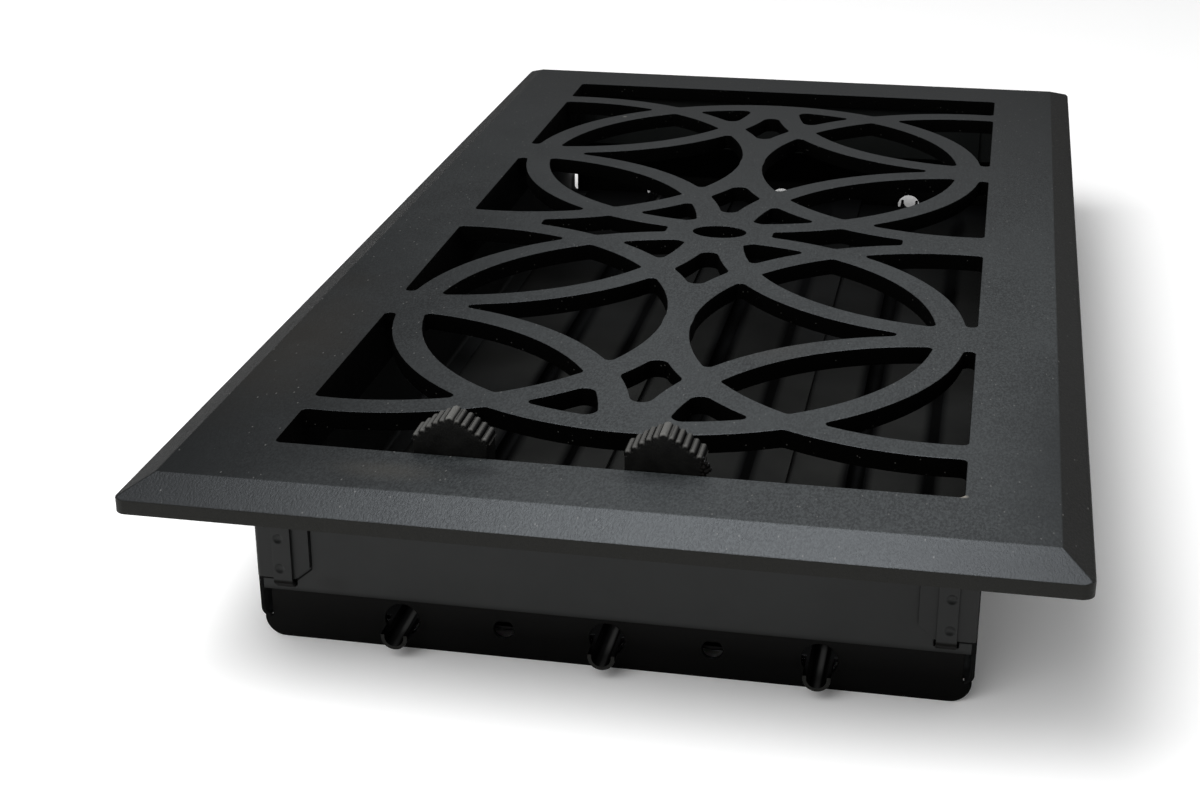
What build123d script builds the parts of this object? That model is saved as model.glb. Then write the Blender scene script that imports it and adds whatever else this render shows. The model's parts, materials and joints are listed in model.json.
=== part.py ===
# Floor register: pierced cast face plate over a folded sheet damper box with three turning blades.
# Millimetres. +Z up, +X across the plate, -Y is the end with the two finger levers.
# Origin: middle of the footprint, on the lower edges of the two end plates.
import os
from math import atan2, cos, sin

from build123d import *

# Face plate
plate_width = 180.0
plate_length = 345.0
plate_corner = 2.5
rim_height = 2.9
bevel_width = 5.9
bevel_end_width = 8.1
bevel_rise = 2.8
web_thickness = 4.0
seat_width = 7.0
top_face_height = 42.3

# Pierced pattern: modules of overlapping circles along the length, set in from the window's edges
bar_width = 6.8
ring_edge = 5.4
module_gap = 4.1
side_circle_inset = 5.2
side_circle_lap = 0.1
corner_circle_inset = 2.5
corner_circle_gap = 3.6
corner_circle_rise = 1.9
corner_band = 0.7
end_slot_least = 12.0
waist_bar_length = 20.2
waist_bar_half = 4.2
centre_boss_x = 13.8
centre_boss_y = 10.5
centre_hole_x = 6.8
centre_hole_y = 4.8
hole_corner = 1.3
hub_corner = 2.4
hub_hole_most = 250.0
axis_reach = 1.0

# Damper box
side_overhang = 19.0
end_overhang = 22.5
end_lap = 2.8
collar_sheet = 0.8
end_sheet = 1.0
end_wall_low = 11.0
end_wall_gap = 0.1
side_wall_low = 4.6
side_bend = 1.9
side_flange = 5.8
flange_gap = 0.2
end_plate_top = 22.0
end_plate_corner = 4.2
end_plate_gap = 1.3
end_foot_inset = 0.4
end_foot_gap = 0.2
tab_width = 11.2
tab_low = 14.0
tab_drop = 6.5
tab_cut = 3.2
tab_cut_rise = 2.72
strap_width = 3.9
strap_inset = 5.7
strap_low = 11.8
strap_drop = 4.5
strap_ramp = 1.5
strap_foot = 0.9
strap_ease = 0.4
strap_gap = 0.05
strap_slit = 0.4
dent_heights = (16.6, 23.2)
dent_radius = 1.6
dent_depth = 0.4
dent_outward = 0.5
skirt_thickness = 3.4
skirt_depth = 8.3
skirt_gap = 0.1
skirt_end = 12.0

# Blades
blade_side_room = 15.45
blade_left_lap = 2.375
blade_lip_lap = 5.575
blade_sheet = 0.8
blade_end_gap = 0.7
lip_back = 5.325
lip_run = 2.4
lip_rise = 1.6
trough_radius = 2.7
trough_rim = 0.6
pivot_height = 5.5
pivot_hole_radius = 3.5
pivot_clearance = 0.06
stub_reach = 6.0
small_hole_radius = 2.05

# Levers and grips
lever_lip_gap = 0.6
lever_width = 9.0
lever_sheet = 1.2
lever_end_gap = 5.7
lever_foot = 15.0
lever_bend = 2.0
lever_rise = 3.1
lever_rivet_radius = 1.3
lever_rivet_near = 4.9
lever_rivet_far = 11.9
rivet_head_radius = 2.3
rivet_head_height = 1.1
rivet_head_slope = 0.5
rivet_clearance = 0.1
grip_width = 15.0
grip_depth = 6.2
grip_drop = 6.3
grip_eave_rise = 2.6
grip_shoulder_reach = 3.2
grip_shoulder_rise = 5.7
grip_peak_rise = 7.1
grip_clearance = 0.1
rib_radius = 0.72
peak_rib_radius = 0.95
peak_rib_sink = 0.25
ribs_per_side = 5

# Link between the middle and the right blade
link_edge = 3.4
link_rise = 9.0
link_behind = 25.5
link_sheet = 1.2
link_height = 4.6
link_gap = 0.25
lug_width = 6.0
lug_window_side = 0.6
pin_radius = 1.4
pin_head_radius = 2.2
pin_head_height = 1.0
link_hole_clearance = 0.08
link_free_clearance = 0.3

# Screws that hold the collar to the plate's skirt
screw_end = 58.0
screw_drop = 3.9
screw_radius = 1.7
screw_fit = 0.05
screw_head_radius = 3.2
screw_head_height = 2.0
screw_head_slope = 1.0
screw_slot_reach = 2.2
screw_slot_half = 0.45
screw_slot_depth = 0.8
screw_depth = 2.9
screw_tip_gap = 0.1
screw_clearance = 0.1

# How far a cutting shape stands past what it cuts
over = 1.0

# Heights
seat_height = top_face_height - bevel_rise - rim_height
web_low = top_face_height - web_thickness
skirt_low = web_low - skirt_depth
tab_top = web_low - tab_drop
strap_top = web_low - strap_drop
screw_z = web_low - screw_drop
lever_floor = pivot_height + trough_rim
lever_top = top_face_height + lever_rise
grip_low = top_face_height - grip_drop
grip_eave = top_face_height + grip_eave_rise
grip_shoulder = top_face_height + grip_shoulder_rise
grip_peak = top_face_height + grip_peak_rise
pivot_hole_height = pivot_height + pivot_hole_radius - trough_radius - pivot_clearance
link_z = pivot_height + link_rise

# Box and window
wall_out = plate_width / 2 - side_overhang
wall_in = wall_out - collar_sheet
end_out = plate_length / 2 - end_overhang
end_in = end_out - collar_sheet
plate_in = end_in - end_sheet
opening_x = wall_in - skirt_gap - skirt_thickness
opening_y = end_out - end_lap
skirt_half_length = end_out - skirt_end
screw_y = end_out - screw_end

# Circles of the pattern
ring_radius = opening_x - ring_edge
side_circle_x = opening_x - side_circle_inset
side_circle_radius = side_circle_x + side_circle_lap
corner_circle_x = opening_x - corner_circle_inset
corner_circle_radius = corner_circle_x - corner_circle_gap
corner_circle_y = ring_radius + corner_circle_rise
module_length = 2 * (ring_radius + module_gap)
ring_span = 2 * ring_radius + bar_width
module_count = 1 + int((2 * opening_y - 2 * end_slot_least - ring_span) / module_length)

# Blades across the box, and what stands on them
blade_pitch = (2 * wall_in - blade_side_room) / 3
blade_left = blade_pitch / 2 + blade_left_lap
blade_right = blade_pitch / 2 + blade_lip_lap
lip_start = blade_pitch / 2 - lip_back
lever_offset = lip_start - lever_lip_gap - lever_width / 2
lever_y = lever_end_gap - end_in
lever_rivets_y = (lever_y + lever_rivet_near, lever_y + lever_rivet_far)
link_x = blade_right - link_edge
link_y = lever_y + link_behind
pivots = (-blade_pitch, 0.0, blade_pitch)
parts = {}


def block(x0, x1, y0, y1, z0, z1):
    middle = ((x0 + x1) / 2, (y0 + y1) / 2, (z0 + z1) / 2)
    return Pos(*middle) * Box(abs(x1 - x0), abs(y1 - y0), abs(z1 - z0))


def rod_y(x, z, radius, y0, y1):
    return Pos(x, (y0 + y1) / 2, z) * Rot(90, 0, 0) * Cylinder(radius, abs(y1 - y0))


def rod_x(y, z, radius, x0, x1):
    return Pos((x0 + x1) / 2, y, z) * Rot(0, 90, 0) * Cylinder(radius, abs(x1 - x0))


def rod_z(x, y, radius, z0, z1):
    return Pos(x, y, (z0 + z1) / 2) * Cylinder(radius, abs(z1 - z0))


def prism_y(points, y0, y1):
    face = make_face(Polyline(*[(x, y0, z) for x, z in points], close=True))
    return extrude(face, amount=y1 - y0, dir=(0, 1, 0))


def prism_x(points, x0, x1):
    face = make_face(Polyline(*[(x0, y, z) for y, z in points], close=True))
    return extrude(face, amount=x1 - x0, dir=(1, 0, 0))


def annulus(x, y, radius):
    return Pos(x, y) * (Circle(radius + bar_width / 2) - Circle(radius - bar_width / 2))


def rounded_hole(hole):
    # The small holes round each crossing have blunter corners towards the middle line.
    radius = hole_corner
    if hole.area < hub_hole_most:
        corners = hole.vertices().sort_by(lambda corner: abs(corner.X))
        if abs(hole.center().X) < axis_reach:
            radius = hub_corner
        elif len(corners) == 3:
            hole = hole.fillet_2d(hub_corner, corners[:-1])
    shrunk = offset(hole, -radius, kind=Kind.ARC)
    return [offset(piece, radius, kind=Kind.ARC) for piece in shrunk.faces()]


def pattern_holes():
    # The openings are what the frame's window leaves when the bars of all the circles are taken away.
    window = Rectangle(2 * opening_x, 2 * opening_y)
    middles = [(step - (module_count - 1) / 2) * module_length for step in range(module_count)]
    waists = [y + module_length / 2 for y in middles[:-1]]
    bars = Sketch()
    for y in waists:
        bars += Pos(0, y) * SlotOverall(2 * centre_boss_x, 2 * centre_boss_y)
        for side in (-1, 1):
            waist_x = side * (opening_x - waist_bar_length / 2)
            bars += Pos(waist_x, y) * Rectangle(waist_bar_length, 2 * waist_bar_half)
    for y in middles:
        bars += annulus(0, y, ring_radius)
        band = Pos(0, y) * Rectangle(2 * opening_x, 2 * (ring_radius + corner_band))
        for side in (-1, 1):
            bars += annulus(side * side_circle_x, y, side_circle_radius)
            for end in (-1, 1):
                corner = annulus(side * corner_circle_x, y + end * corner_circle_y, corner_circle_radius)
                bars += corner & band
    rounded = []
    for hole in (window - bars).faces():
        rounded += rounded_hole(hole)
    for y in waists:
        rounded.append(Pos(0, y) * Ellipse(centre_hole_x, centre_hole_y))
    return rounded


def face_grille():
    half_x = plate_width / 2
    half_y = plate_length / 2
    shoulder = seat_height + rim_height
    across = [(-half_x, seat_height), (half_x, seat_height), (half_x, shoulder),
              (half_x - bevel_width, top_face_height), (-half_x + bevel_width, top_face_height),
              (-half_x, shoulder)]
    along = [(-half_y, seat_height), (half_y, seat_height), (half_y, shoulder),
             (half_y - bevel_end_width, top_face_height), (-half_y + bevel_end_width, top_face_height),
             (-half_y, shoulder)]
    plate = prism_y(across, -half_y, half_y) & prism_x(along, -half_x, half_x)
    outline = extrude(RectangleRounded(plate_width, plate_length, plate_corner), top_face_height)
    plate = plate & outline
    inner_x = half_x - seat_width
    inner_y = half_y - seat_width
    plate -= block(-inner_x, inner_x, -inner_y, inner_y, seat_height - over, web_low)
    for hole in pattern_holes():
        plate -= Pos(0, 0, web_low - over) * extrude(hole, web_thickness + 2 * over)
    for side in (-1, 1):
        skirt_in = side * opening_x
        skirt_out = side * (wall_in - skirt_gap)
        plate += block(skirt_in, skirt_out, -skirt_half_length, skirt_half_length, skirt_low, web_low)
        for y in (-screw_y, screw_y):
            start = side * (wall_in - screw_depth)
            plate -= rod_x(y, screw_z, screw_radius, start, side * (wall_in + over))
    return plate


def collar_side(side):
    # Wall with an inward flange along its foot and a tab folded round each end.
    bend_x = side * (wall_out - side_bend)
    bend_z = side_wall_low + side_bend
    wall = block(side * wall_in, side * wall_out, -end_out, end_out, bend_z, web_low)
    bend = rod_y(bend_x, bend_z, side_bend, -end_out, end_out)
    bend -= rod_y(bend_x, bend_z, side_bend - collar_sheet, -end_out - over, end_out + over)
    wall += bend & block(bend_x, side * (wall_out + over), -end_out, end_out, side_wall_low, bend_z)
    flange_end = plate_in - flange_gap
    wall += block(bend_x, side * (wall_out - side_flange), -flange_end, flange_end,
                  side_wall_low, side_wall_low + collar_sheet)
    for end in (-1, 1):
        tab_in = wall_out - tab_width
        tab_face = end * (end_out + collar_sheet)
        outline = [(wall_out, tab_low), (tab_in + tab_cut, tab_low), (tab_in, tab_low + tab_cut_rise),
                   (tab_in, tab_top), (wall_out, tab_top)]
        tab = prism_y([(side * x, z) for x, z in outline], end * end_out, tab_face)
        edge = rod_z(side * wall_in, end * end_out, collar_sheet, tab_low, tab_top)
        square = block(side * wall_in, side * wall_out, end * end_out, tab_face, tab_low, tab_top)
        wall += tab - square + (edge & square)
    for y in (-screw_y, screw_y):
        hole = rod_x(y, screw_z, screw_radius + screw_clearance, side * (wall_in - over), side * (wall_out + over))
        wall -= hole
    return wall


def strap_x(side):
    return side * (wall_out - strap_inset)


def collar_end(end):
    # End wall with a lanced strap near each corner, standing over the side wall's tab.
    half = wall_in - end_wall_gap
    wall = block(-half, half, end * end_in, end * end_out, end_wall_low, web_low)
    raised_in = end_out + collar_sheet + strap_gap
    raised_out = raised_in + collar_sheet
    line = [(end_in, strap_low), (end_out, strap_low), (raised_out, strap_low + strap_ramp),
            (raised_out, strap_top - strap_ramp), (end_out, strap_top), (end_in, strap_top),
            (end_in, strap_top - strap_foot), (end_out, strap_top - strap_foot),
            (raised_in, strap_top - strap_ramp - strap_ease), (raised_in, strap_low + strap_ramp + strap_ease),
            (end_out, strap_low + strap_foot), (end_in, strap_low + strap_foot)]
    for side in (-1, 1):
        x = strap_x(side)
        reach = strap_width / 2
        cut = reach + strap_slit
        wall -= block(x - cut, x + cut, end * (end_in - over), end * (end_out + over),
                      strap_low + strap_ease, strap_top - strap_ease)
        strap = prism_x([(end * y, z) for y, z in line], x - reach, x + reach)
        for z in dent_heights:
            dent_y = end * (raised_out + dent_radius - dent_depth)
            strap -= Pos(x + side * dent_outward, dent_y, z) * Sphere(dent_radius)
        wall += strap
    return wall


def end_plate(end):
    # Sheet between the side walls, with a wider round-cornered foot that passes under them.
    half = wall_in - end_plate_gap
    foot_half = wall_out - end_foot_inset
    foot_top = side_wall_low - end_foot_gap
    corner = end_plate_corner
    near = end * plate_in
    far = end * end_in
    sheet = block(-half, half, near, far, foot_top, end_plate_top)
    sheet += block(-foot_half + corner, foot_half - corner, near, far, 0, foot_top)
    for side in (-1, 1):
        turn = rod_y(side * (foot_half - corner), corner, corner, near, far)
        turn += block(side * (foot_half - corner), side * foot_half, near, far, corner, foot_top)
        sheet += turn & block(-foot_half, foot_half, near, far, 0, foot_top)
    low = end * (plate_in - over)
    high = end * (end_in + over)
    for x in pivots:
        sheet -= rod_y(x, pivot_hole_height, pivot_hole_radius, low, high)
    for x in (-blade_pitch / 2, blade_pitch / 2):
        sheet -= rod_y(x, pivot_hole_height, small_hole_radius, low, high)
    return sheet


def blade_blank(x):
    # Flat sheet with a half-round trough along the middle and a raised lip along its right edge.
    length = plate_in - blade_end_gap
    reach = end_in + stub_reach
    top = lever_floor
    low = top - blade_sheet
    inner = trough_radius - blade_sheet
    lean = atan2(lip_rise, lip_run)
    ease = blade_sheet * sin(lean / 2) / cos(lean / 2)
    left = [(-blade_left, low), (-inner, low), (-inner, top), (-blade_left, top)]
    right = [(inner, low), (lip_start + ease, low), (lip_start + lip_run + ease, low + lip_rise),
             (blade_right, low + lip_rise), (blade_right, top + lip_rise), (lip_start + lip_run, top + lip_rise),
             (lip_start, top), (inner, top)]
    blade = prism_y([(x + a, z) for a, z in left], -length, length)
    blade += prism_y([(x + a, z) for a, z in right], -length, length)
    trough = rod_y(x, pivot_height, trough_radius, -reach, reach)
    trough = trough & block(x - trough_radius, x + trough_radius, -reach, reach,
                            pivot_height - trough_radius, pivot_height)
    for side in (-1, 1):
        trough += block(x + side * inner, x + side * trough_radius, -reach, reach, pivot_height, top)
    blade += trough
    blade -= rod_y(x, pivot_height, inner, -reach - over, reach + over)
    blade -= block(x - inner, x + inner, -reach - over, reach + over, pivot_height, top + over)
    return blade


def lever_holes(blade, x):
    for y in lever_rivets_y:
        blade -= rod_z(x + lever_offset, y, lever_rivet_radius + rivet_clearance, 0, lever_floor + over)
    return blade


def link_lug(blade, x):
    # Lug lanced up out of the raised lip, with the window that it leaves.
    middle = x + link_x
    half = lug_width / 2
    foot = lever_floor + lip_rise - blade_sheet
    back = link_y + blade_sheet
    lug = block(middle - half, middle + half, link_y, back, foot, link_z)
    lug += rod_y(middle, link_z, half, link_y, back)
    window = link_z + half - foot
    window_half = half - lug_window_side
    blade -= block(middle - window_half, middle + window_half, back, back + window,
                   foot - over, foot + blade_sheet + over)
    blade += lug
    blade -= rod_y(middle, link_z, pin_radius + rivet_clearance, link_y - over, back + over)
    return blade


def lever(x):
    # Strip standing on edge to the swing, with its foot folded back along the blade.
    middle = x + lever_offset
    half = lever_width / 2
    floor = lever_floor
    front = lever_y - lever_sheet / 2
    back = front + lever_foot
    strip = block(middle - half, middle + half, front, front + lever_sheet, floor + lever_bend, lever_top)
    strip += block(middle - half, middle + half, front + lever_bend, back, floor, floor + lever_sheet)
    bend = rod_x(front + lever_bend, floor + lever_bend, lever_bend, middle - half, middle + half)
    bend -= rod_x(front + lever_bend, floor + lever_bend, lever_bend - lever_sheet,
                  middle - half - over, middle + half + over)
    corner = block(middle - half, middle + half, front, front + lever_bend, floor, floor + lever_bend)
    strip += bend & corner
    for y in lever_rivets_y:
        strip -= rod_z(middle, y, lever_rivet_radius + rivet_clearance, 0, floor + lever_sheet + over)
    return strip


def lever_rivets(x):
    middle = x + lever_offset
    top = lever_floor + lever_sheet
    low = lever_floor - blade_sheet
    group = []
    for y in lever_rivets_y:
        rivet = rod_z(middle, y, lever_rivet_radius, low - rivet_head_height, top + rivet_head_height)
        rivet += rod_z(middle, y, rivet_head_radius, top, top + rivet_head_height)
        rivet += rod_z(middle, y, rivet_head_radius, low - rivet_head_height, low)
        rims = rivet.edges().filter_by(GeomType.CIRCLE).sort_by(Axis.Z)
        group.append(chamfer([rims[0], rims[-1]], rivet_head_slope))
    return group


def grip(x):
    # Moulded finger grip: gabled block with half-round ribs along both slopes and a larger one on the peak.
    middle = x + lever_offset
    half = grip_width / 2
    front = lever_y - grip_depth / 2
    back = lever_y + grip_depth / 2
    profile = [(middle - half, grip_low), (middle + half, grip_low), (middle + half, grip_eave),
               (middle + grip_shoulder_reach, grip_shoulder), (middle, grip_peak),
               (middle - grip_shoulder_reach, grip_shoulder), (middle - half, grip_eave)]
    body = prism_y(profile, front, back)
    for side in (-1, 1):
        for step in range(ribs_per_side):
            out = half * (1 - (step + 0.5) / (ribs_per_side + 0.6))
            if out > grip_shoulder_reach:
                fall = (grip_shoulder - grip_eave) / (half - grip_shoulder_reach)
                rib_z = grip_shoulder - fall * (out - grip_shoulder_reach)
            else:
                rib_z = grip_peak - (grip_peak - grip_shoulder) * out / grip_shoulder_reach
            body += rod_y(middle + side * out, rib_z, rib_radius, front, back)
    body += rod_y(middle, grip_peak - peak_rib_sink, peak_rib_radius, front, back)
    gap = grip_clearance
    slot_half = lever_width / 2 + gap
    body -= block(middle - slot_half, middle + slot_half, lever_y - lever_sheet / 2 - gap,
                  lever_y + lever_sheet / 2 + gap, grip_low - over, lever_top)
    return body


def link_bar():
    start = link_x
    stop = blade_pitch + link_x
    z = link_z
    front = link_y - link_gap - link_sheet
    back = link_y - link_gap
    half = link_height / 2
    bar = block(start, stop, front, back, z - half, z + half)
    bar += rod_y(start, z, half, front, back)
    bar += rod_y(stop, z, half, front, back)
    bar -= rod_y(start, z, pin_radius + link_hole_clearance, front - over, back + over)
    bar -= rod_y(stop, z, pin_radius + link_free_clearance, front - over, back + over)
    return bar


def link_pin(x):
    # Shouldered pin fixed in the lug; the bar turns on it between the head and the lug.
    z = link_z
    middle = x + link_x
    head = link_y - 2 * link_gap - link_sheet
    tail = link_y + blade_sheet
    pin = rod_y(middle, z, pin_radius, head, tail)
    pin += rod_y(middle, z, pin_head_radius, head - pin_head_height, head)
    pin += rod_y(middle, z, pin_head_radius, tail, tail + pin_head_height)
    return pin


def collar_screws():
    group = []
    for side in (-1, 1):
        for y in (-screw_y, screw_y):
            tip = side * (wall_in - screw_depth + screw_tip_gap)
            crown = wall_out + screw_head_height
            screw = rod_x(y, screw_z, screw_radius - screw_fit, tip, side * wall_out)
            head = rod_x(y, screw_z, screw_head_radius, side * wall_out, side * crown)
            rims = head.edges().filter_by(GeomType.CIRCLE).sort_by(Axis.X)
            head = chamfer([rims[-1] if side > 0 else rims[0]], screw_head_slope)
            for long_y, long_z in ((screw_slot_reach, screw_slot_half), (screw_slot_half, screw_slot_reach)):
                head -= block(side * (crown - screw_slot_depth), side * (crown + over), y - long_y, y + long_y,
                              screw_z - long_z, screw_z + long_z)
            group.append(screw + head)
    return group


def add(name, shape):
    solids = []
    for item in shape if isinstance(shape, list) else [shape]:
        solids.extend(item.solids())
    parts[name] = solids[0] if len(solids) == 1 else Compound(children=solids)


left, middle, right = pivots
add("face_grille", face_grille())
add("collar_left_side", collar_side(-1))
add("collar_right_side", collar_side(1))
add("collar_near_end", collar_end(-1))
add("collar_far_end", collar_end(1))
add("near_end_plate", end_plate(-1))
add("far_end_plate", end_plate(1))
add("collar_screws", collar_screws())
add("left_blade", lever_holes(blade_blank(left), left))
add("middle_blade", link_lug(lever_holes(blade_blank(middle), middle), middle))
add("right_blade", link_lug(blade_blank(right), right))
add("left_lever", lever(left))
add("right_lever", lever(middle))
add("left_lever_rivets", lever_rivets(left))
add("right_lever_rivets", lever_rivets(middle))
add("left_grip", grip(left))
add("right_grip", grip(middle))
add("link_bar", link_bar())
add("middle_link_pin", link_pin(middle))
add("right_link_pin", link_pin(right))

os.makedirs("parts", exist_ok=True)
for name, shape in parts.items():
    export_step(shape, f"parts/{name}.step")
    box = shape.bounding_box()
    print(f"{name}: {len(shape.solids())} solid(s), volume {shape.volume:.1f}, "
          f"x {box.min.X:.2f} {box.max.X:.2f} y {box.min.Y:.2f} {box.max.Y:.2f} z {box.min.Z:.2f} {box.max.Z:.2f}")
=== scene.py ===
import json
import math

import bpy
from mathutils import Matrix, Vector


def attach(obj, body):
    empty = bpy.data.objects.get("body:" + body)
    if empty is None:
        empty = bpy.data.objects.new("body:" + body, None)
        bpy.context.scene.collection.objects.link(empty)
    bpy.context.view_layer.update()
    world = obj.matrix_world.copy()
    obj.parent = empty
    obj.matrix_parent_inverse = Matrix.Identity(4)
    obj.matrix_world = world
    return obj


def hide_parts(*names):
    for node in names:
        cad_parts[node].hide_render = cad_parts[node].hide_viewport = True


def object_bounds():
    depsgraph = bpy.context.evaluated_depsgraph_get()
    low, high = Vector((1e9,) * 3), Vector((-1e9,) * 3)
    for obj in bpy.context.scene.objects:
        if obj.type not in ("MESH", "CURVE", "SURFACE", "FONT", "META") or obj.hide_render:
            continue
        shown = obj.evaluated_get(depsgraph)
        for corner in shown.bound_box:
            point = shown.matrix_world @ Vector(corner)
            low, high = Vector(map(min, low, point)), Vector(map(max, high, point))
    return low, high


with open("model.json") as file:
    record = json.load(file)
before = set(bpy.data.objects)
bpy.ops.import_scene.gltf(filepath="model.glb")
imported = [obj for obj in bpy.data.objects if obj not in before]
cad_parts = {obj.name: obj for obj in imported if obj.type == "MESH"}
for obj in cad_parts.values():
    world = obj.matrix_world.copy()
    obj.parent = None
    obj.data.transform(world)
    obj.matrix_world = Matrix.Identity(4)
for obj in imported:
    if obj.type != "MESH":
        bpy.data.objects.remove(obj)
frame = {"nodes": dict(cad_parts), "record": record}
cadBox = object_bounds()
record = frame["record"]
bodyOf = {node: body for body, nodes in record["behaviour"]["bodies"].items() for node in nodes}
slotOf = {row["node"]: row["material_slot"] for row in record["subparts"]}
mm = 0.001
print("stage 1: frame loaded,", len(frame["nodes"]), "nodes")


# Small helpers for working as by hand
def pick(obj):
    bpy.ops.object.select_all(action="DESELECT")
    obj.select_set(True)
    bpy.context.view_layer.objects.active = obj


def applyModifier(obj, kind, **settings):
    pick(obj)
    modifier = obj.modifiers.new(kind.lower(), kind)
    for name, value in settings.items():
        setattr(modifier, name, value)
    bpy.ops.object.modifier_apply(modifier=modifier.name)


def smoothByAngle(obj, degrees):
    pick(obj)
    bpy.ops.object.shade_smooth_by_angle(angle=math.radians(degrees))


def selectFaces(obj, test):  # leaves edit mode on, with the faces that pass the test selected
    pick(obj)
    bpy.ops.object.mode_set(mode="EDIT")
    bpy.ops.mesh.select_mode(type="FACE")
    bpy.ops.mesh.select_all(action="DESELECT")
    bpy.ops.object.mode_set(mode="OBJECT")
    for face in obj.data.polygons:
        face.select = test(face)
    bpy.ops.object.mode_set(mode="EDIT")


copyCare = {
    "weld": 0.002 * mm,  # corners closer than this become one
    "flat": 0.5,  # degrees, faces that differ by less become one
    "underside": -0.5,  # slope below which a face counts as underside
}


def copyOfNode(nodeName, pieceName, keepUnderside):  # welded copy of a solid's mesh, flat faces whole again
    piece = bpy.data.objects.new(pieceName, frame["nodes"][nodeName].data.copy())
    bpy.context.scene.collection.objects.link(piece)
    pick(piece)
    bpy.ops.mesh.customdata_custom_splitnormals_clear()
    bpy.ops.object.mode_set(mode="EDIT")
    bpy.ops.mesh.select_all(action="SELECT")
    bpy.ops.mesh.remove_doubles(threshold=copyCare["weld"])
    bpy.ops.object.mode_set(mode="OBJECT")
    selectFaces(piece, lambda face: not keepUnderside or face.normal.z > copyCare["underside"])
    bpy.ops.mesh.dissolve_limited(angle_limit=math.radians(copyCare["flat"]))
    bpy.ops.object.mode_set(mode="OBJECT")
    return piece


def roundEdges(piece, width, steps, degrees, lowest):  # rounds the sharp edges that lie wholly above a height
    pick(piece)
    bpy.ops.object.mode_set(mode="EDIT")
    bpy.ops.mesh.select_mode(type="EDGE")
    bpy.ops.mesh.select_all(action="DESELECT")
    bpy.ops.mesh.edges_select_sharp(sharpness=math.radians(degrees))
    bpy.ops.object.mode_set(mode="OBJECT")
    heights = [vertex.co.z for vertex in piece.data.vertices]
    for edge in piece.data.edges:
        edge.select = edge.select and min(heights[end] for end in edge.vertices) > lowest
    bpy.ops.object.mode_set(mode="EDIT")
    bpy.ops.mesh.bevel(offset=width, segments=steps, affect="EDGES", clamp_overlap=False)
    bpy.ops.object.mode_set(mode="OBJECT")


def mount(piece, nodeName, material):  # the piece stands for the node and moves with its body
    piece.data.materials.clear()
    piece.data.materials.append(material)
    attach(piece, bodyOf[nodeName])
    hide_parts(nodeName)


# Small helpers for shader nodes
def feed(tree, target, value):  # a plain value, or the socket that brings a changing one
    if isinstance(value, bpy.types.NodeSocket):
        tree.links.new(value, target)
    else:
        target.default_value = value


def addNode(tree, kind, inputs=None, **settings):
    node = tree.nodes.new(kind)
    for name, value in settings.items():
        setattr(node, name, value)
    for name, value in (inputs or {}).items():
        feed(tree, node.inputs[name], value)
    return node


def addMath(tree, operation, *terms):
    return addNode(tree, "ShaderNodeMath", dict(enumerate(terms)), operation=operation).outputs["Value"]


# Shader groups shared by the finishes
vector = "NodeSocketVector"
number = "NodeSocketFloat"


def newGroup(name, inputs, outputs):  # the group and what it is given
    group = bpy.data.node_groups.new(name, "ShaderNodeTree")
    for direction, sockets in (("INPUT", inputs), ("OUTPUT", outputs)):
        for label, kind in sockets.items():
            group.interface.new_socket(label, in_out=direction, socket_type=kind)
    return group, addNode(group, "NodeGroupInput").outputs


sandShape = {
    "grain": {"Detail": 3.0, "Roughness": 0.65},
    "mottle": {"Detail": 4.0, "Roughness": 0.55},
    "glint": {"From Min": 0.45, "From Max": 0.2},  # from a glint's edge to its middle
    "rarity": 0.988,  # share of the grains without a glint
}


def sandGroup(shape):  # fine sandy grain, broad mottle and tiny glints
    group, given = newGroup("sandyCoat",
                            {"Vector": vector, "Grain": number, "Mottle": number},
                            {"Height": number, "Mottle": number, "Glints": number})
    place = given["Vector"]
    grain = addNode(group, "ShaderNodeTexNoise",
                    {"Vector": place, "Scale": given["Grain"], **shape["grain"]})
    mottle = addNode(group, "ShaderNodeTexNoise",
                     {"Vector": place, "Scale": given["Mottle"], **shape["mottle"]})
    cells = addNode(group, "ShaderNodeTexVoronoi", {"Vector": place, "Scale": given["Grain"]}).outputs
    spot = addNode(group, "ShaderNodeMapRange", {"Value": cells["Distance"], **shape["glint"]})
    chance = addNode(group, "ShaderNodeSeparateColor", {"Color": cells["Color"]}).outputs["Red"]
    rare = addMath(group, "GREATER_THAN", chance, shape["rarity"])
    glints = addMath(group, "MULTIPLY", spot.outputs["Result"], rare)
    addNode(group, "NodeGroupOutput",
            {"Height": grain.outputs["Fac"], "Mottle": mottle.outputs["Fac"], "Glints": glints})
    return group


speckShape = {
    "size": {"To Min": 0.02, "To Max": 0.075},  # radius of the smallest and largest speck in its cell
}


def speckGroup(shape):  # sparse dust specks
    group, given = newGroup("dustSpecks",
                            {"Vector": vector, "Scale": number, "Share": number},
                            {"Specks": number})
    cells = addNode(group, "ShaderNodeTexVoronoi",
                    {"Vector": given["Vector"], "Scale": given["Scale"]}).outputs
    chance = addNode(group, "ShaderNodeSeparateColor", {"Color": cells["Color"]}).outputs
    rare = addMath(group, "LESS_THAN", chance["Red"], given["Share"])
    size = addNode(group, "ShaderNodeMapRange", {"Value": chance["Green"], **shape["size"]})
    inside = addMath(group, "LESS_THAN", cells["Distance"], size.outputs["Result"])
    addNode(group, "NodeGroupOutput", {"Specks": addMath(group, "MULTIPLY", rare, inside)})
    return group


patchShape = {
    "cloud": {"Scale": 70.0, "Detail": 4.0},
    "cloudMiddle": 0.5,
    "fade": {"From Min": 1.0, "From Max": 0.0},  # from the oval's edge to its middle
}


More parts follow.
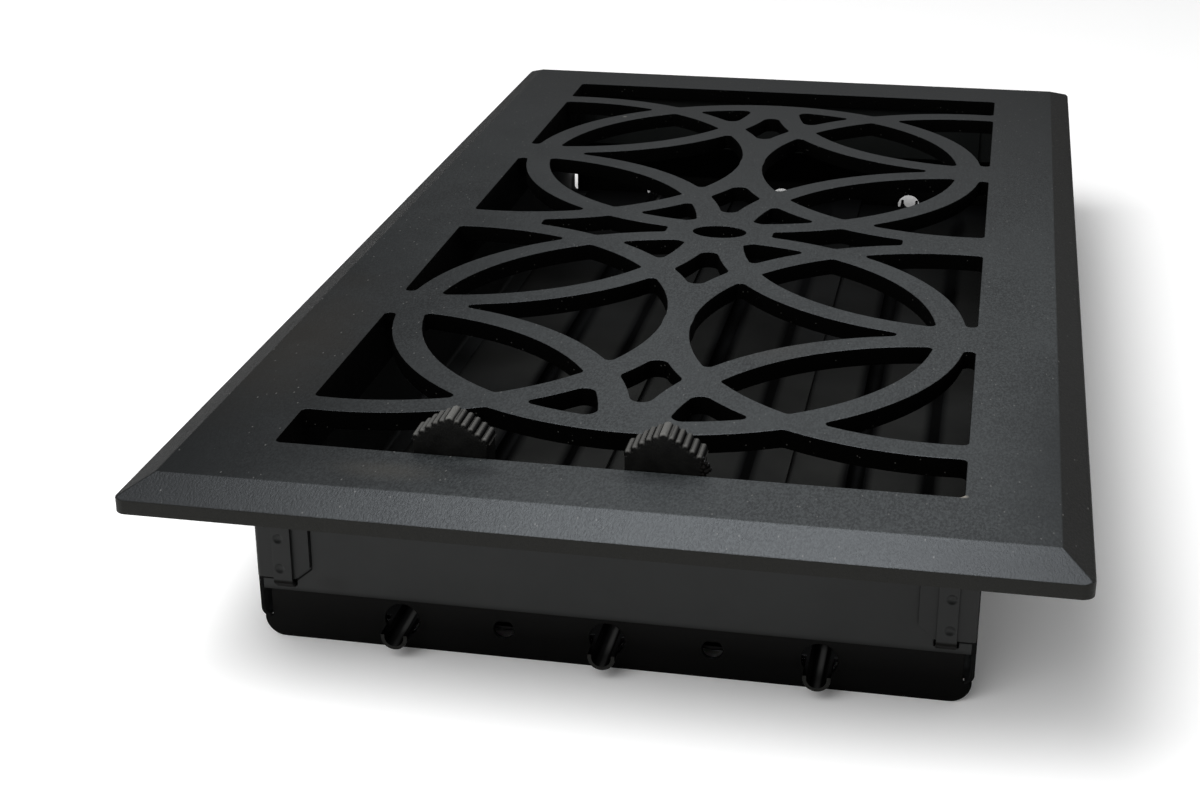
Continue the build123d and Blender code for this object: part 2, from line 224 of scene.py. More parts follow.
def patchGroup(shape):  # soft oval patch with a ragged edge
    group, given = newGroup("softPatch",
                            {"Vector": vector, "Centre": vector, "Reach": vector, "Ragged": number},
                            {"Mask": number})
    shift = addNode(group, "ShaderNodeVectorMath",
                    {0: given["Vector"], 1: given["Centre"]}, operation="SUBTRACT")
    oval = addNode(group, "ShaderNodeVectorMath",
                   {0: shift.outputs["Vector"], 1: given["Reach"]}, operation="DIVIDE")
    away = addNode(group, "ShaderNodeVectorMath", {0: oval.outputs["Vector"]}, operation="LENGTH")
    cloud = addNode(group, "ShaderNodeTexNoise", {"Vector": given["Vector"], **shape["cloud"]})
    uneven = addMath(group, "SUBTRACT", cloud.outputs["Fac"], shape["cloudMiddle"])
    edge = addMath(group, "ADD", away.outputs["Value"], addMath(group, "MULTIPLY", uneven, given["Ragged"]))
    fade = addNode(group, "ShaderNodeMapRange",
                   {"Value": edge, **shape["fade"]}, interpolation_type="SMOOTHSTEP")
    addNode(group, "NodeGroupOutput", {"Mask": fade.outputs["Result"]})
    return group


groups = {"sand": sandGroup(sandShape), "specks": speckGroup(speckShape), "patch": patchGroup(patchShape)}
mixColours = {"under": 6, "over": 7, "result": 2}  # places of the colour sockets on a Mix node


class Finish:  # a material with one Principled shader and a base colour built up in layers
    def __init__(self, name, tone, gloss):
        self.material = bpy.data.materials.new(name)
        self.material.use_nodes = True
        self.tree = self.material.node_tree
        self.tree.nodes.clear()
        self.shader = self.node("ShaderNodeBsdfPrincipled", {"Specular IOR Level": gloss})
        self.node("ShaderNodeOutputMaterial", {"Surface": self.shader.outputs["BSDF"]})
        coordinates = self.node("ShaderNodeTexCoord").outputs
        self.place = coordinates["Object"]
        self.facing = coordinates["Normal"]
        self.colour = (*tone, 1.0)

    def node(self, kind, inputs=None, **settings):
        return addNode(self.tree, kind, inputs, **settings)

    def group(self, kind, place=None, **values):
        inputs = {"Vector": place or self.place, **values}
        return self.node("ShaderNodeGroup", inputs, node_tree=groups[kind]).outputs

    def specks(self, scale, share):
        return self.group("specks", Scale=scale, Share=share)["Specks"]

    def patch(self, centre, reach, ragged):  # centre and reach in mm
        return self.group("patch", Centre=[c * mm for c in centre], Reach=[c * mm for c in reach],
                          Ragged=ragged)["Mask"]

    def spread(self, source, low, high, span=(0.0, 1.0)):  # low where the span starts, high where it ends
        inputs = {"Value": source, "From Min": span[0], "From Max": span[1], "To Min": low, "To Max": high}
        return self.node("ShaderNodeMapRange", inputs).outputs["Result"]

    def rise(self, source, span):  # mask that comes in over the span
        return self.spread(source, 0.0, 1.0, span)

    def fall(self, source, span=(0.0, 1.0)):  # mask that goes out over the span
        return self.spread(source, 1.0, 0.0, span)

    def parts(self, source):  # the three coordinates of a vector
        return self.node("ShaderNodeSeparateXYZ", {"Vector": source}).outputs

    def size(self, source):  # a coordinate without its sign
        return addMath(self.tree, "ABSOLUTE", source)

    def product(self, first, *others):
        for other in others:
            first = addMath(self.tree, "MULTIPLY", first, other)
        return first

    def most(self, first, *others):
        for other in others:
            first = addMath(self.tree, "MAXIMUM", first, other)
        return first

    def stripes(self, source, middle, half, edge, pitch=None):  # mask of bands about a middle, every pitch
        shift = addMath(self.tree, "SUBTRACT", source, middle)
        away = addMath(self.tree, "PINGPONG", shift, pitch / 2) if pitch else self.size(shift)
        return self.fall(away, (half - edge, half + edge))

    def layer(self, mask, tint, strength=1.0):  # paints tint over the colour so far where mask says
        mix = self.node("ShaderNodeMix", {
            "Factor": self.spread(mask, 0.0, strength),
            mixColours["under"]: self.colour,
            mixColours["over"]: (*tint, 1.0),
        }, data_type="RGBA")
        self.colour = mix.outputs[mixColours["result"]]

    def marks(self, rows):  # stains and chips: centre and reach in mm, tint, strength, raggedness
        for centre, reach, tint, strength, ragged in rows:
            self.layer(self.patch(centre, reach, ragged), tint, strength)

    def shade(self, name, value):  # sets or feeds a socket of the shader
        feed(self.tree, self.shader.inputs[name], value)

    def bump(self, socket, height, strength, depth):
        inputs = {"Height": height, "Strength": strength, "Distance": depth}
        self.shade(socket, self.node("ShaderNodeBump", inputs).outputs["Normal"])

    def done(self):
        self.shade("Base Color", self.colour)
        return self.material


# Powder coat of the cast plate
grilleLook = {
    "gloss": 0.1,
    "grain": 2300.0,
    "mottle": 42.0,
    "drawnOut": (1.0, 0.45, 1.0),  # the grain is longer along the plate
    "bump": (0.6, 0.16 * mm),  # strength and depth of the grain
    "rough": (0.48, 0.62, (0.3, 0.7)),  # in the dips, on the tops, and heights of dips and tops
    "dark": (0.0085, 0.0102, 0.0108),
    "light": (0.0390, 0.0440, 0.0453),
    "grainSpan": (0.40, 0.62),
    "mottleSpan": (0.35, 0.7),
    "mottleStrength": 0.5,
    "glint": (0.13, 0.13, 0.125),
    "glintStrength": 0.7,
    "dust": (0.17, 0.165, 0.15),
    "dustStrength": 0.6,
    "specks": (110.0, 0.05),  # cells to a metre and share of them with a speck
    "dullAndShaded": (0.0032, 0.0036, 0.0037),  # painted shade over the near left part of the plate, where the coat is also duller
    "dullPatch": ((-95, -172, 42), (102, 420, 50), 0.25),  # centre and reach in mm, raggedness
    "dullShadeStrength": 0.92,
    # painted shade, darker towards the far end
    "far": (0.0085, 0.0093, 0.0094),
    "farSpan": (-30.0 * mm, 172.0 * mm),
    "farStrength": 0.95,
    # painted shade on the bevels that face sideways, brownish on the right
    "rightBevelShade": (0.0072, 0.0066, 0.0052),
    "leftBevelShade": (0.0030, 0.0032, 0.0032),
    "bevelTurn": (0.15, 0.4),  # how far a side bevel faces sideways
    "bevelShadeStrength": 0.85,
    "insideAcross": (80.0 * mm, 82.0 * mm),  # on the flat frame, between the openings and the bevel
    "insideAlong": (158.0 * mm, 160.0 * mm),
    "rim": (0.0140, 0.0140, 0.0128),  # upright outer edge of the plate
    "rimSlope": (0.35, 0.8),
    "wall": (0.0008, 0.0008, 0.0007),  # walls of the openings, painted near black as shade
    "wallSlope": (0.5, 0.93),
    # painted glints on the walls of the openings
    "wallGlint": (0.075, 0.075, 0.068),
    "wallGlintStrength": 0.6,
    "coat": 0.82,
    "coatRough": 0.48,
    "dullCoat": 0.07,
    "flatSlope": (0.95, 0.985),
    "bevelWear": 0.4,  # share of the dullness that reaches the bevel
    "bevelCoat": 0.5,  # share of the coat that is left on the side bevels
    "farCoat": 0.6,  # the same towards the far end
    "farCoatSpan": (-100.0 * mm, 172.0 * mm),
    "rightCoat": 0.62,  # the same towards the right edge
    "rightCoatSpan": (62.0 * mm, 90.0 * mm),
    "marks": [
        ((-80, -95, 42), (20, 60, 20), (0.029, 0.0245, 0.0190), 0.36, 0.9),  # brown bloom on the left frame
        ((-40.5, -156.0, 42.3), (15, 6, 3), (0.046, 0.042, 0.034), 0.42, 0.7),  # warm rub by the left lever
        ((-25.0, -153.5, 42.3), (9, 4, 3), (0.008, 0.009, 0.0095), 0.7, 0.8),  # painted shadow beside the left grip, right of that rub
        ((8.0, -150.5, 42.3), (14, 4, 3), (0.009, 0.010, 0.0105), 0.6, 0.8),  # painted shadow by the right grip
        ((24.0, -78.0, 42.3), (16, 14, 3), (0.034, 0.031, 0.025), 0.35, 1.0),  # warm patch on a ring
        ((86.0, -130.0, 40.0), (17, 85, 20), (0.007, 0.0085, 0.009), 0.75, 0.8),  # painted shade over the right frame
        ((80.0, -170.0, 41.0), (45, 12, 8), (0.008, 0.0095, 0.010), 0.75, 0.8),  # painted shade at the right end of the near bevel
    ],
    "chip": ((66.4, -146.9, 42.2), (1.4, 1.0, 1.6), (0.34, 0.31, 0.26), 0.9, 0.9),
}


def grilleCoat(look):
    finish = Finish("grillePowderCoat", look["dark"], look["gloss"])
    drawn = finish.node("ShaderNodeMapping",
                        {"Vector": finish.place, "Scale": look["drawnOut"]}).outputs["Vector"]
    sand = finish.group("sand", drawn, Grain=look["grain"], Mottle=look["mottle"])
    place = finish.parts(finish.place)
    facing = finish.parts(finish.facing)
    finish.layer(finish.rise(sand["Height"], look["grainSpan"]), look["light"])
    finish.layer(finish.rise(sand["Mottle"], look["mottleSpan"]), look["light"], look["mottleStrength"])
    # painted shade: the near left part of the plate is painted darker, and its coat is duller
    dullAndShaded = finish.patch(*look["dullPatch"])
    finish.layer(dullAndShaded, look["dullAndShaded"], look["dullShadeStrength"])
    finish.marks(look["marks"])
    # painted shade towards the far end
    finish.layer(finish.rise(place["Y"], look["farSpan"]), look["far"], look["farStrength"])
    # painted shade on the side bevels, by the way they face
    leftTurn = [-turn for turn in reversed(look["bevelTurn"])]
    finish.layer(finish.rise(facing["X"], look["bevelTurn"]), look["rightBevelShade"], look["bevelShadeStrength"])
    finish.layer(finish.fall(facing["X"], leftTurn), look["leftBevelShade"], look["bevelShadeStrength"])
    finish.layer(sand["Glints"], look["glint"], look["glintStrength"])
    finish.layer(finish.specks(*look["specks"]), look["dust"], look["dustStrength"])
    inside = finish.product(finish.fall(finish.size(place["X"]), look["insideAcross"]),
                            finish.fall(finish.size(place["Y"]), look["insideAlong"]))
    wall = finish.product(inside, finish.fall(facing["Z"], look["wallSlope"]))
    rim = finish.product(finish.fall(inside), finish.fall(facing["Z"], look["rimSlope"]))
    finish.layer(rim, look["rim"])
    # painted shade on the walls of the openings, and painted glints on them
    finish.layer(wall, look["wall"])
    finish.layer(finish.product(wall, sand["Glints"]), look["wallGlint"], look["wallGlintStrength"])
    finish.marks([look["chip"]])
    worn = finish.product(dullAndShaded, finish.spread(facing["Z"], look["bevelWear"], 1.0, look["flatSlope"]))
    coat = finish.product(finish.fall(finish.most(wall, rim)),
                          finish.spread(worn, look["coat"], look["dullCoat"]),
                          finish.spread(finish.size(facing["X"]), 1.0, look["bevelCoat"], look["bevelTurn"]),
                          finish.spread(place["Y"], 1.0, look["farCoat"], look["farCoatSpan"]),
                          finish.spread(place["X"], 1.0, look["rightCoat"], look["rightCoatSpan"]))
    finish.shade("Coat Weight", coat)
    finish.shade("Coat Roughness", look["coatRough"])
    finish.shade("Roughness", finish.spread(sand["Height"], *look["rough"]))
    finish.bump("Normal", sand["Height"], *look["bump"])
    coatGrain = finish.node("ShaderNodeTexNoise",
                            {"Vector": drawn, "Scale": look["grain"], **sandShape["grain"]})
    finish.bump("Coat Normal", coatGrain.outputs["Fac"], *look["bump"])  # the coat follows the same grain
    return finish.done()


# Satin black of the sheet pieces, before each one's own shading
sheetLook = {
    "grain": 1500.0,
    "mottle": 60.0,
    "mottleSpan": (0.3, 0.7),
    "mottleRough": (-0.06, 0.08),  # added to the roughness where the mottle is low and high
    "specks": (150.0, 0.07),
    "dustStrength": 0.6,
    "bump": (0.12, 0.05 * mm),
}


def sheetBase(name, look, mottledRough=True):
    finish = Finish(name, look["dark"], look["gloss"])
    sand = finish.group("sand", Grain=sheetLook["grain"], Mottle=sheetLook["mottle"])
    finish.layer(finish.rise(sand["Mottle"], sheetLook["mottleSpan"]), look["light"])
    finish.layer(finish.specks(*sheetLook["specks"]), look["dust"], sheetLook["dustStrength"])
    if mottledRough:
        low, high = (look["roughness"] + step for step in sheetLook["mottleRough"])
        finish.shade("Roughness", finish.spread(sand["Mottle"], low, high, sheetLook["mottleSpan"]))
    finish.bump("Normal", sand["Height"], *sheetLook["bump"])
    return finish


collarLook = {
    "dark": (0.0090, 0.0100, 0.0097),
    "light": (0.0133, 0.0145, 0.0141),
    "dust": (0.08, 0.08, 0.075),
    "gloss": 0.25,
    "roughness": 0.45,
    "cutRoughness": 0.97,
    "fold": (0.0070, 0.0076, 0.0073),  # tabs and straps, which stand out from the end walls
    "foldSpan": (150.02 * mm, 150.08 * mm),
    "foldStrength": 0.8,
    "rampShade": (0.0022, 0.0020, 0.0014),  # painted shade on the undersides of the straps and at their feet
    "rampSlope": (-0.6, -0.35),
    "strapFace": (150.85 * mm, 150.95 * mm),
    "strapFoot": (13.7 * mm, 14.2 * mm),
    "cut": (0.0006, 0.0006, 0.0005),  # painted shade on cut edges, in the gaps below the ends and along the lines where sheets meet
    "cutTurn": (0.55, 0.8),
    "endZone": (143.0 * mm, 146.0 * mm),  # painted shade in the gaps below the folded ends
    "endFoot": (10.0 * mm, 12.0 * mm),
    "lineFace": (-149.8 * mm, -149.4 * mm),  # the lines are drawn on the near end only
    "footLine": (13.45 * mm, 0.17 * mm, 0.05 * mm),  # painted shadow line below the tabs: middle, half width and softness
    "footAside": (66.9 * mm, 67.1 * mm),
    "wallAside": (70.1 * mm, 70.25 * mm),  # end of the side wall below the tab
    "wallFoot": (13.9 * mm, 14.0 * mm),
    "seamLine": (-59.68 * mm, 0.14 * mm, 0.04 * mm),  # painted shadow line along the inner edge of the left tab
    "seamFoot": (16.2 * mm, 16.4 * mm),
    "cornerSlant": (0.648, 0.0, -0.762),  # square to the cut corner of the left tab
    "cornerLine": (-51.06 * mm, 0.17 * mm, 0.05 * mm),
    "cornerReach": (-61.3 * mm, 1.7 * mm, 0.05 * mm),
    "marks": [
        ((-67.05, -151.3, 19.6), (0.3, 2, 6.5), (0.045, 0.046, 0.045), 0.7, 0.5),  # pale line along the left strap
        ((64.0, -150.5, 22.0), (30, 3, 18), (0.0045, 0.0049, 0.0044), 0.85, 0.6),  # painted shade over the right corner
        ((66.3, -151.3, 21.5), (1.0, 2, 0.9), (0.0012, 0.0012, 0.0012), 0.9, 0.8),  # spot on the right strap
        ((-55.0, -150.0, 13.5), (5, 2, 2.5), (0.0055, 0.0055, 0.0052), 0.6, 1.0),  # smudge low on the wall
        ((20.0, -150.0, 27.0), (3, 2, 2.5), (0.0065, 0.0068, 0.0066), 0.5, 1.0),  # smudge high on the wall
    ],
}


def collarPaint(look):  # painted shade: cut edges of the folded ends, the gaps below them and the lines beside the tabs are painted black
    finish = sheetBase("collarPaint", look, mottledRough=False)
    place = finish.parts(finish.place)
    facing = finish.parts(finish.facing)
    along = finish.size(place["Y"])
    aside = finish.size(place["X"])
    finish.marks(look["marks"])
    folded = finish.rise(along, look["foldSpan"])
    finish.layer(folded, look["fold"], look["foldStrength"])
    # painted shade under the straps and at their feet
    rampShade = finish.product(folded, finish.fall(facing["Z"], look["rampSlope"]))
    strapFoot = finish.product(finish.rise(along, look["strapFace"]),
                               finish.fall(place["Z"], look["strapFoot"]))
    shaded = finish.most(rampShade, strapFoot)
    finish.layer(shaded, look["rampShade"])
    # painted shadow lines below the tabs, at the ends of the side walls, beside the left tab and under its
    # cut corner
    foot = finish.product(finish.stripes(place["Z"], *look["footLine"]),
                          finish.rise(aside, look["footAside"]))
    wallEnd = finish.product(finish.rise(aside, look["wallAside"]),
                             finish.fall(place["Z"], look["wallFoot"]))
    seam = finish.product(finish.stripes(place["X"], *look["seamLine"]),
                          finish.rise(place["Z"], look["seamFoot"]))
    slant = finish.node("ShaderNodeVectorMath",
                        {0: finish.place, 1: look["cornerSlant"]}, operation="DOT_PRODUCT")
    corner = finish.product(finish.stripes(slant.outputs["Value"], *look["cornerLine"]),
                            finish.stripes(place["X"], *look["cornerReach"]))
    edge = finish.product(folded, finish.fall(finish.size(facing["Y"]), look["cutTurn"]))
    gap = finish.product(finish.rise(along, look["endZone"]), finish.fall(place["Z"], look["endFoot"]))
    lines = finish.product(finish.fall(place["Y"], look["lineFace"]),
                           finish.most(seam, corner, foot, wallEnd))
    cut = finish.most(edge, gap, lines)
    finish.layer(cut, look["cut"])
    finish.shade("Roughness",
                 finish.spread(finish.most(cut, shaded), look["roughness"], look["cutRoughness"]))
    return finish.done()


bladeLook = {
    "dark": (0.0186, 0.0191, 0.0184),
    "light": (0.0267, 0.0272, 0.0260),
    "dust": (0.05, 0.05, 0.048),
    "gloss": 0.07,
    "rough": (0.3, 0.95, (-140.0 * mm, 140.0 * mm)),  # at the near end, at the far end, and their places
    # painted shade, darker towards the far end
    "far": (0.0052, 0.0053, 0.0051),
    "farSpan": (-15.0 * mm, 95.0 * mm),
    "pitch": 41.65 * mm,  # from blade to blade
    # painted shade in the troughs, along the folds and at the pivot ends
    "grooveShade": (0.0003, 0.0003, 0.0003),
    "trough": (0.0 * mm, 3.3 * mm, 0.9 * mm),  # middle, half width and softness of a band
    "fold": (16.6 * mm, 2.2 * mm, 0.9 * mm),
    "endSpan": (125.0 * mm, 138.0 * mm),
    "streak": (0.045, 0.045, 0.044),  # sheen along the top of a pivot stub
    "streakLine": (0.15 * mm, 0.5 * mm, 0.25 * mm),
    "streakSlope": (0.6, 0.9),
    "streakStart": (138.0 * mm, 141.0 * mm),
    "streakFade": (1.0, 0.4, (147.0 * mm, 151.0 * mm)),
    # painted highlight on the end faces of the pivot stubs
    "stubEdge": (0.011, 0.011, 0.010),
    "stubTip": (154.0 * mm, 154.4 * mm),
    "stubTurn": (0.5, 0.9),
}


def bladePaint(look):  # painted shade: troughs, folds and the pivot ends are painted near black
    finish = sheetBase("bladePaint", look, mottledRough=False)
    place = finish.parts(finish.place)
    facing = finish.parts(finish.facing)
    along = finish.size(place["Y"])
    # painted shade towards the far end
    finish.layer(finish.rise(place["Y"], look["farSpan"]), look["far"])
    # painted shade in the troughs, along the folds and towards the pivot ends
    trough = finish.stripes(place["X"], *look["trough"], look["pitch"])
    fold = finish.stripes(place["X"], *look["fold"], look["pitch"])
    finish.layer(finish.most(trough, fold, finish.rise(along, look["endSpan"])), look["grooveShade"])
    streak = finish.product(finish.stripes(place["X"], *look["streakLine"], look["pitch"]),
                            finish.rise(facing["Z"], look["streakSlope"]),
                            finish.rise(along, look["streakStart"]),
                            finish.spread(along, *look["streakFade"]))
    finish.layer(streak, look["streak"])
    # painted highlight on the end faces of the pivot stubs
    tip = finish.product(finish.rise(along, look["stubTip"]),
                         finish.rise(finish.size(facing["Y"]), look["stubTurn"]))
    finish.layer(tip, look["stubEdge"])
    finish.shade("Roughness", finish.spread(place["Y"], *look["rough"]))
    return finish.done()


endPlateLook = {
    "dark": (0.0005, 0.0005, 0.0004),
    "light": (0.0009, 0.0009, 0.0008),
    "dust": (0.05, 0.05, 0.047),
    "gloss": 0.05,
    "roughness": 0.5,
    # painted light towards the left corner and towards the top
    "left": (0.0036, 0.0036, 0.0034),
    "leftSpan": (-70.0 * mm, -20.0 * mm),
    "leftStrength": 0.8,
    "upper": (0.0048, 0.0048, 0.0045),
    "upperSpan": (5.0 * mm, 11.0 * mm),
    "upperStrength": 0.75,
    "edgeSpan": (11.6 * mm, 12.4 * mm),  # painted shadow along the top edge, under the end wall
}


def endPlatePaint(look):  # painted light: paler towards the top and the left corner, with a painted shadow along the top edge
    finish = sheetBase("endPlatePaint", look)
    place = finish.parts(finish.place)
    finish.layer(finish.fall(place["X"], look["leftSpan"]), look["left"], look["leftStrength"])
    finish.layer(finish.rise(place["Z"], look["upperSpan"]), look["upper"], look["upperStrength"])
    finish.layer(finish.rise(place["Z"], look["edgeSpan"]), look["dark"])
    return finish.done()


leverLook = {
    "dark": (0.003, 0.003, 0.003),
    "light": (0.005, 0.005, 0.005),
    "dust": (0.03, 0.03, 0.03),
    "gloss": 0.2,
    "roughness": 0.45,
}
fastenerLook = {
    "dark": (0.006, 0.006, 0.006),
    "light": (0.012, 0.012, 0.012),
    "dust": (0.05, 0.05, 0.05),
    "gloss": 0.4,
    "roughness": 0.36,
}

# Moulded plastic of the finger grips, with pale wear and a painted highlight on the ribs
gripLook = {
    "dark": (0.0034, 0.0034, 0.0032),
    "light": (0.0066, 0.0066, 0.0062),
    "gloss": 0.12,
    "grain": 1400.0,
    "mottle": 300.0,
    "mottleSpan": (0.35, 0.65),
    "bump": (0.4, 0.18 * mm),
    "rough": (0.42, 0.62, (0.3, 0.7)),
    "dust": (0.09, 0.088, 0.08),
    "dustStrength": 0.7,
    "specks": (420.0, 0.08),
    "middles": (-31.25 * mm, 10.4 * mm),  # of the two grips, from left to right
    "worn": (0.080, 0.079, 0.075),
    "ribLine": (0.131 * mm, 0.44 * mm, 0.16 * mm),  # middle, half width and softness of the pale wear and highlight on a rib
    "ribPitch": 1.339 * mm,
    "wornSlope": (0.1, 0.6),
    "peak": (0.118, 0.117, 0.111),  # the middle rib is palest, from wear and a painted highlight
    "peakSpan": (0.6 * mm, 0.9 * mm),
}


def gripPlastic(look):
    finish = Finish("gripPlastic", look["dark"], look["gloss"])
    sand = finish.group("sand", Grain=look["grain"], Mottle=look["mottle"])
    finish.layer(finish.rise(sand["Mottle"], look["mottleSpan"]), look["light"])
    finish.layer(finish.specks(*look["specks"]), look["dust"], look["dustStrength"])
    across = finish.parts(finish.place)["X"]
    away = [finish.size(addMath(finish.tree, "SUBTRACT", across, middle)) for middle in look["middles"]]
    nearest = addMath(finish.tree, "MINIMUM", *away)  # distance from the middle of the nearer grip
    upward = finish.rise(finish.parts(finish.facing)["Z"], look["wornSlope"])
    crest = finish.stripes(nearest, *look["ribLine"], look["ribPitch"])
    # pale wear and painted highlight on the upward faces of the rib crests
    finish.layer(finish.product(crest, upward), look["worn"])
    finish.layer(finish.product(finish.fall(nearest, look["peakSpan"]), upward), look["peak"])
    finish.shade("Roughness", finish.spread(sand["Height"], *look["rough"]))
    finish.bump("Normal", sand["Height"], *look["bump"])
    return finish.done()


paints = {
    "grille_coat": grilleCoat(grilleLook),
    "collar_paint": collarPaint(collarLook),
    "end_plate_paint": endPlatePaint(endPlateLook),
    "blade_paint": bladePaint(bladeLook),
    "lever_paint": sheetBase("leverPaint", leverLook).done(),
    "fastener_black": sheetBase("fastenerBlack", fastenerLook).done(),
    "grip_plastic": gripPlastic(gripLook),
}
print("stage 2: finishes made,", len(paints))


# Pieces: edges of the solids rounded as casting, paint and moulding leave them
edgeRounds = {  # node: width of the rounding in mm, steps, least angle between faces
    "face_grille": (0.28, 2, 14.0),
    "collar_left_side": (0.16, 2, 30.0),
    "collar_right_side": (0.16, 2, 30.0),
    "collar_near_end": (0.16, 2, 20.0),
    "collar_far_end": (0.16, 2, 20.0),
    "near_end_plate": (0.18, 2, 30.0),
    "far_end_plate": (0.18, 2, 30.0),
    "collar_screws": (0.15, 2, 40.0),
    "left_blade": (0.15, 2, 22.0),
    "middle_blade": (0.15, 2, 22.0),
    "right_blade": (0.15, 2, 22.0),
    "left_lever": (0.2, 2, 40.0),
    "right_lever": (0.2, 2, 40.0),
    "left_lever_rivets": (0.12, 2, 40.0),
    "right_lever_rivets": (0.12, 2, 40.0),
    "left_grip": (0.5, 3, 30.0),
    "right_grip": (0.5, 3, 30.0),
    "link_bar": (0.15, 2, 40.0),
    "middle_link_pin": (0.2, 2, 40.0),
    "right_link_pin": (0.2, 2, 40.0),
}
dressing = {
    "castLowest": 38.5 * mm,  # the cast plate keeps its sharp edges below this height
    "smoothAngle": 32,
    "normalWeight": 50,
}
faceCount = 0
for nodeName, (width, steps, angle) in edgeRounds.items():
    isCast = nodeName == "face_grille"
    piece = copyOfNode(nodeName, nodeName + "_dressed", isCast)
    if isCast:
        roundEdges(piece, width * mm, steps, angle, dressing["castLowest"])
    else:
        applyModifier(piece, "BEVEL", width=width * mm, segments=steps, limit_method="ANGLE",
                      angle_limit=math.radians(angle), use_clamp_overlap=False)
    smoothByAngle(piece, dressing["smoothAngle"])
    applyModifier(piece, "WEIGHTED_NORMAL", keep_sharp=True, weight=dressing["normalWeight"])
    mount(piece, nodeName, paints[slotOf[nodeName]])
    faceCount += len(piece.data.polygons)
print("stage 3: pieces dressed,", faceCount, "faces")


# Moulding flash left at the foot of the right grip: a few fused lumps
flashLook = {
    "dark": (0.0007, 0.0006, 0.0005),
    "light": (0.006, 0.0048, 0.0036),
    "dust": (0.09, 0.07, 0.05),
    "gloss": 0.3,
    "roughness": 0.45,
}
flashShape = {
    "radius": 0.5 * mm,
    "subdivisions": 2,
    "uneven": 0.14 * mm,
    "seed": 3,
    "turns": (0.7, 1.1, 0.4),  # each lump is turned by this much more than the one before, in radians
    "fuse": 0.09 * mm,
    "smoothAngle": 40,
    "lumps": [  # place in mm and size against the radius
        (17.9, -146.1, 45.4, 0.8), (18.3, -146.2, 44.6, 1.1), (18.9, -146.1, 44.1, 1.0),
        (18.1, -146.3, 43.7, 1.2), (19.2, -146.0, 43.2, 1.0), (18.5, -146.2, 42.9, 1.3),
        (17.7, -146.4, 43.0, 0.9), (18.0, -146.3, 42.2, 1.1),
    ],
}
bpy.ops.object.select_all(action="DESELECT")
bpy.ops.mesh.primitive_ico_sphere_add(subdivisions=flashShape["subdivisions"], radius=flashShape["radius"],
                                      location=(0, 0, 0))
lump = bpy.context.object
bpy.ops.object.mode_set(mode="EDIT")
bpy.ops.mesh.select_all(action="SELECT")
bpy.ops.transform.vertex_random(offset=flashShape["uneven"], seed=flashShape["seed"])
bpy.ops.object.mode_set(mode="OBJECT")
flashParts = [lump]
while len(flashParts) < len(flashShape["lumps"]):
    part = lump.copy()
    part.data = lump.data.copy()
    bpy.context.scene.collection.objects.link(part)
    flashParts.append(part)
for count, (part, (x, y, z, size)) in enumerate(zip(flashParts, flashShape["lumps"])):
    part.location = (x * mm, y * mm, z * mm)
    part.rotation_euler = [turn * count for turn in flashShape["turns"]]
    part.scale = (size, size, size)
pick(lump)
for part in flashParts:
    part.select_set(True)
bpy.ops.object.join()
bpy.ops.object.transform_apply(location=True, rotation=True, scale=True)
flash = bpy.context.object
flash.name = "right_grip_flash"
applyModifier(flash, "REMESH", mode="VOXEL", voxel_size=flashShape["fuse"])
smoothByAngle(flash, flashShape["smoothAngle"])
flash.data.materials.append(sheetBase("gripFlash", flashLook).done())
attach(flash, bodyOf["right_grip"])
print("stage 4: moulding flash made,", len(flash.data.polygons), "faces")

# Floor, seen as white behind the object
floorLook = {
    "side": 8.0,
    "tone": (0.9, 0.9, 0.9),
    "gloss": 0.0,
    "roughness": 0.9,
    "seen": (1.12, 1.12, 1.12),
    "seenBy": ("Is Camera Ray", "Is Glossy Ray", "Is Transmission Ray"),
}
bpy.ops.object.select_all(action="DESELECT")
bpy.ops.mesh.primitive_plane_add(size=floorLook["side"], location=(0, 0, cadBox[0].z))
floor = bpy.context.object
floor.name = "studio_floor"
floorFinish = Finish("studioFloor", floorLook["tone"], floorLook["gloss"])
floorFinish.shade("Roughness", floorLook["roughness"])
floorRays = floorFinish.node("ShaderNodeLightPath").outputs
for kind in floorLook["seenBy"]:
    floorFinish.layer(floorRays[kind], floorLook["seen"])
floor.data.materials.append(floorFinish.done())

# Light: an even sky, soft boxes that light the forms, and a card that only shows as sheen
lightSetup = {
    "sky": 0.44,
    "skySheen": 0.2,
    "skySeen": 1.0,
    "aim": (0.0, 0.0, 0.04),
    "boxes": {
        "left_box": {"turn": -118.0, "rise": 64.0, "away": 1.3, "size": 0.9, "power": 10.6},
        "front_box": {"turn": 202.0, "rise": 42.0, "away": 1.3, "size": 0.9, "power": 7.0},
    },
    "cards": {
        "top_card": {"turn": 0.0, "rise": 80.0, "away": 1.3, "size": 0.6, "power": 13.0,
                     "tint": (0.94, 0.99, 1.06)},
    },
}


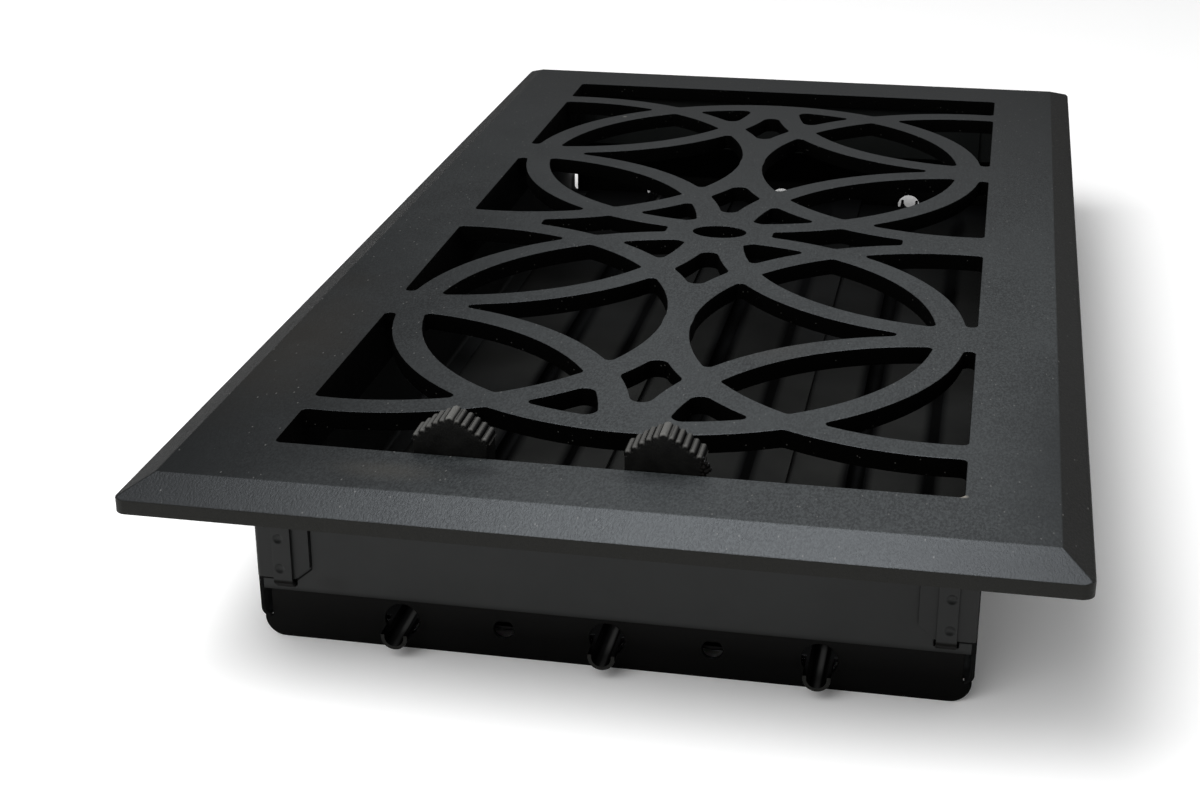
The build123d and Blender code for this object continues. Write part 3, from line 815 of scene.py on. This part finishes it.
def softBox(name, turn, rise, away, size, power, tint=(1, 1, 1)):  # turn from the far end towards the right
    lamp = bpy.data.lights.new(name, "AREA")
    lamp.shape = "SQUARE"
    lamp.size = size
    lamp.energy = power
    lamp.color = tint
    holder = bpy.data.objects.new(name, lamp)
    bpy.context.scene.collection.objects.link(holder)
    flat = math.cos(math.radians(rise))
    heading = Vector((math.sin(math.radians(turn)) * flat, math.cos(math.radians(turn)) * flat,
                      math.sin(math.radians(rise))))
    place = Vector(lightSetup["aim"]) + heading * away
    holder.matrix_world = Matrix.Translation(place) @ (-heading).to_track_quat("-Z", "Y").to_matrix().to_4x4()
    return holder


for name, setup in lightSetup["boxes"].items():
    softBox(name, **setup).visible_glossy = False
for name, setup in lightSetup["cards"].items():
    softBox(name, **setup).visible_diffuse = False
world = bpy.data.worlds.new("studioSky")
world.use_nodes = True
background = world.node_tree.nodes["Background"]
background.inputs["Color"].default_value = (1, 1, 1, 1)
skyRays = addNode(world.node_tree, "ShaderNodeLightPath").outputs
sheenMix = addNode(world.node_tree, "ShaderNodeMix", {
    "Factor": skyRays["Is Glossy Ray"], "A": lightSetup["sky"], "B": lightSetup["skySheen"]})
seenMix = addNode(world.node_tree, "ShaderNodeMix", {
    "Factor": skyRays["Is Camera Ray"], "A": sheenMix.outputs["Result"], "B": lightSetup["skySeen"]})
feed(world.node_tree, background.inputs["Strength"], seenMix.outputs["Result"])
bpy.context.scene.world = world
print("stage 5: floor and light set")

# Camera where the photograph was taken from
cameraSetup = {
    "place": (66.78 * mm, -483.78 * mm, 201.08 * mm),
    "aim": (-8.16 * mm, -114.77 * mm, 42.3 * mm),
    "roll": -0.24,  # degrees
    "lens": 59.73,
    "sensor": 36.0,
    "nearest": 10.0 * mm,
}
cameraData = bpy.data.cameras.new("photo_camera")
cameraData.lens = cameraSetup["lens"]
cameraData.sensor_width = cameraSetup["sensor"]
cameraData.clip_start = cameraSetup["nearest"]
camera = bpy.data.objects.new("photo_camera", cameraData)
bpy.context.scene.collection.objects.link(camera)
view = Vector(cameraSetup["aim"]) - Vector(cameraSetup["place"])
roll = Matrix.Rotation(math.radians(cameraSetup["roll"]), 4, "Z")
turn = view.to_track_quat("-Z", "Y").to_matrix().to_4x4() @ roll
camera.matrix_world = Matrix.Translation(cameraSetup["place"]) @ turn
bpy.context.scene.camera = camera
bpy.context.scene.view_settings.view_transform = "Standard"
print("stage 6: camera set")
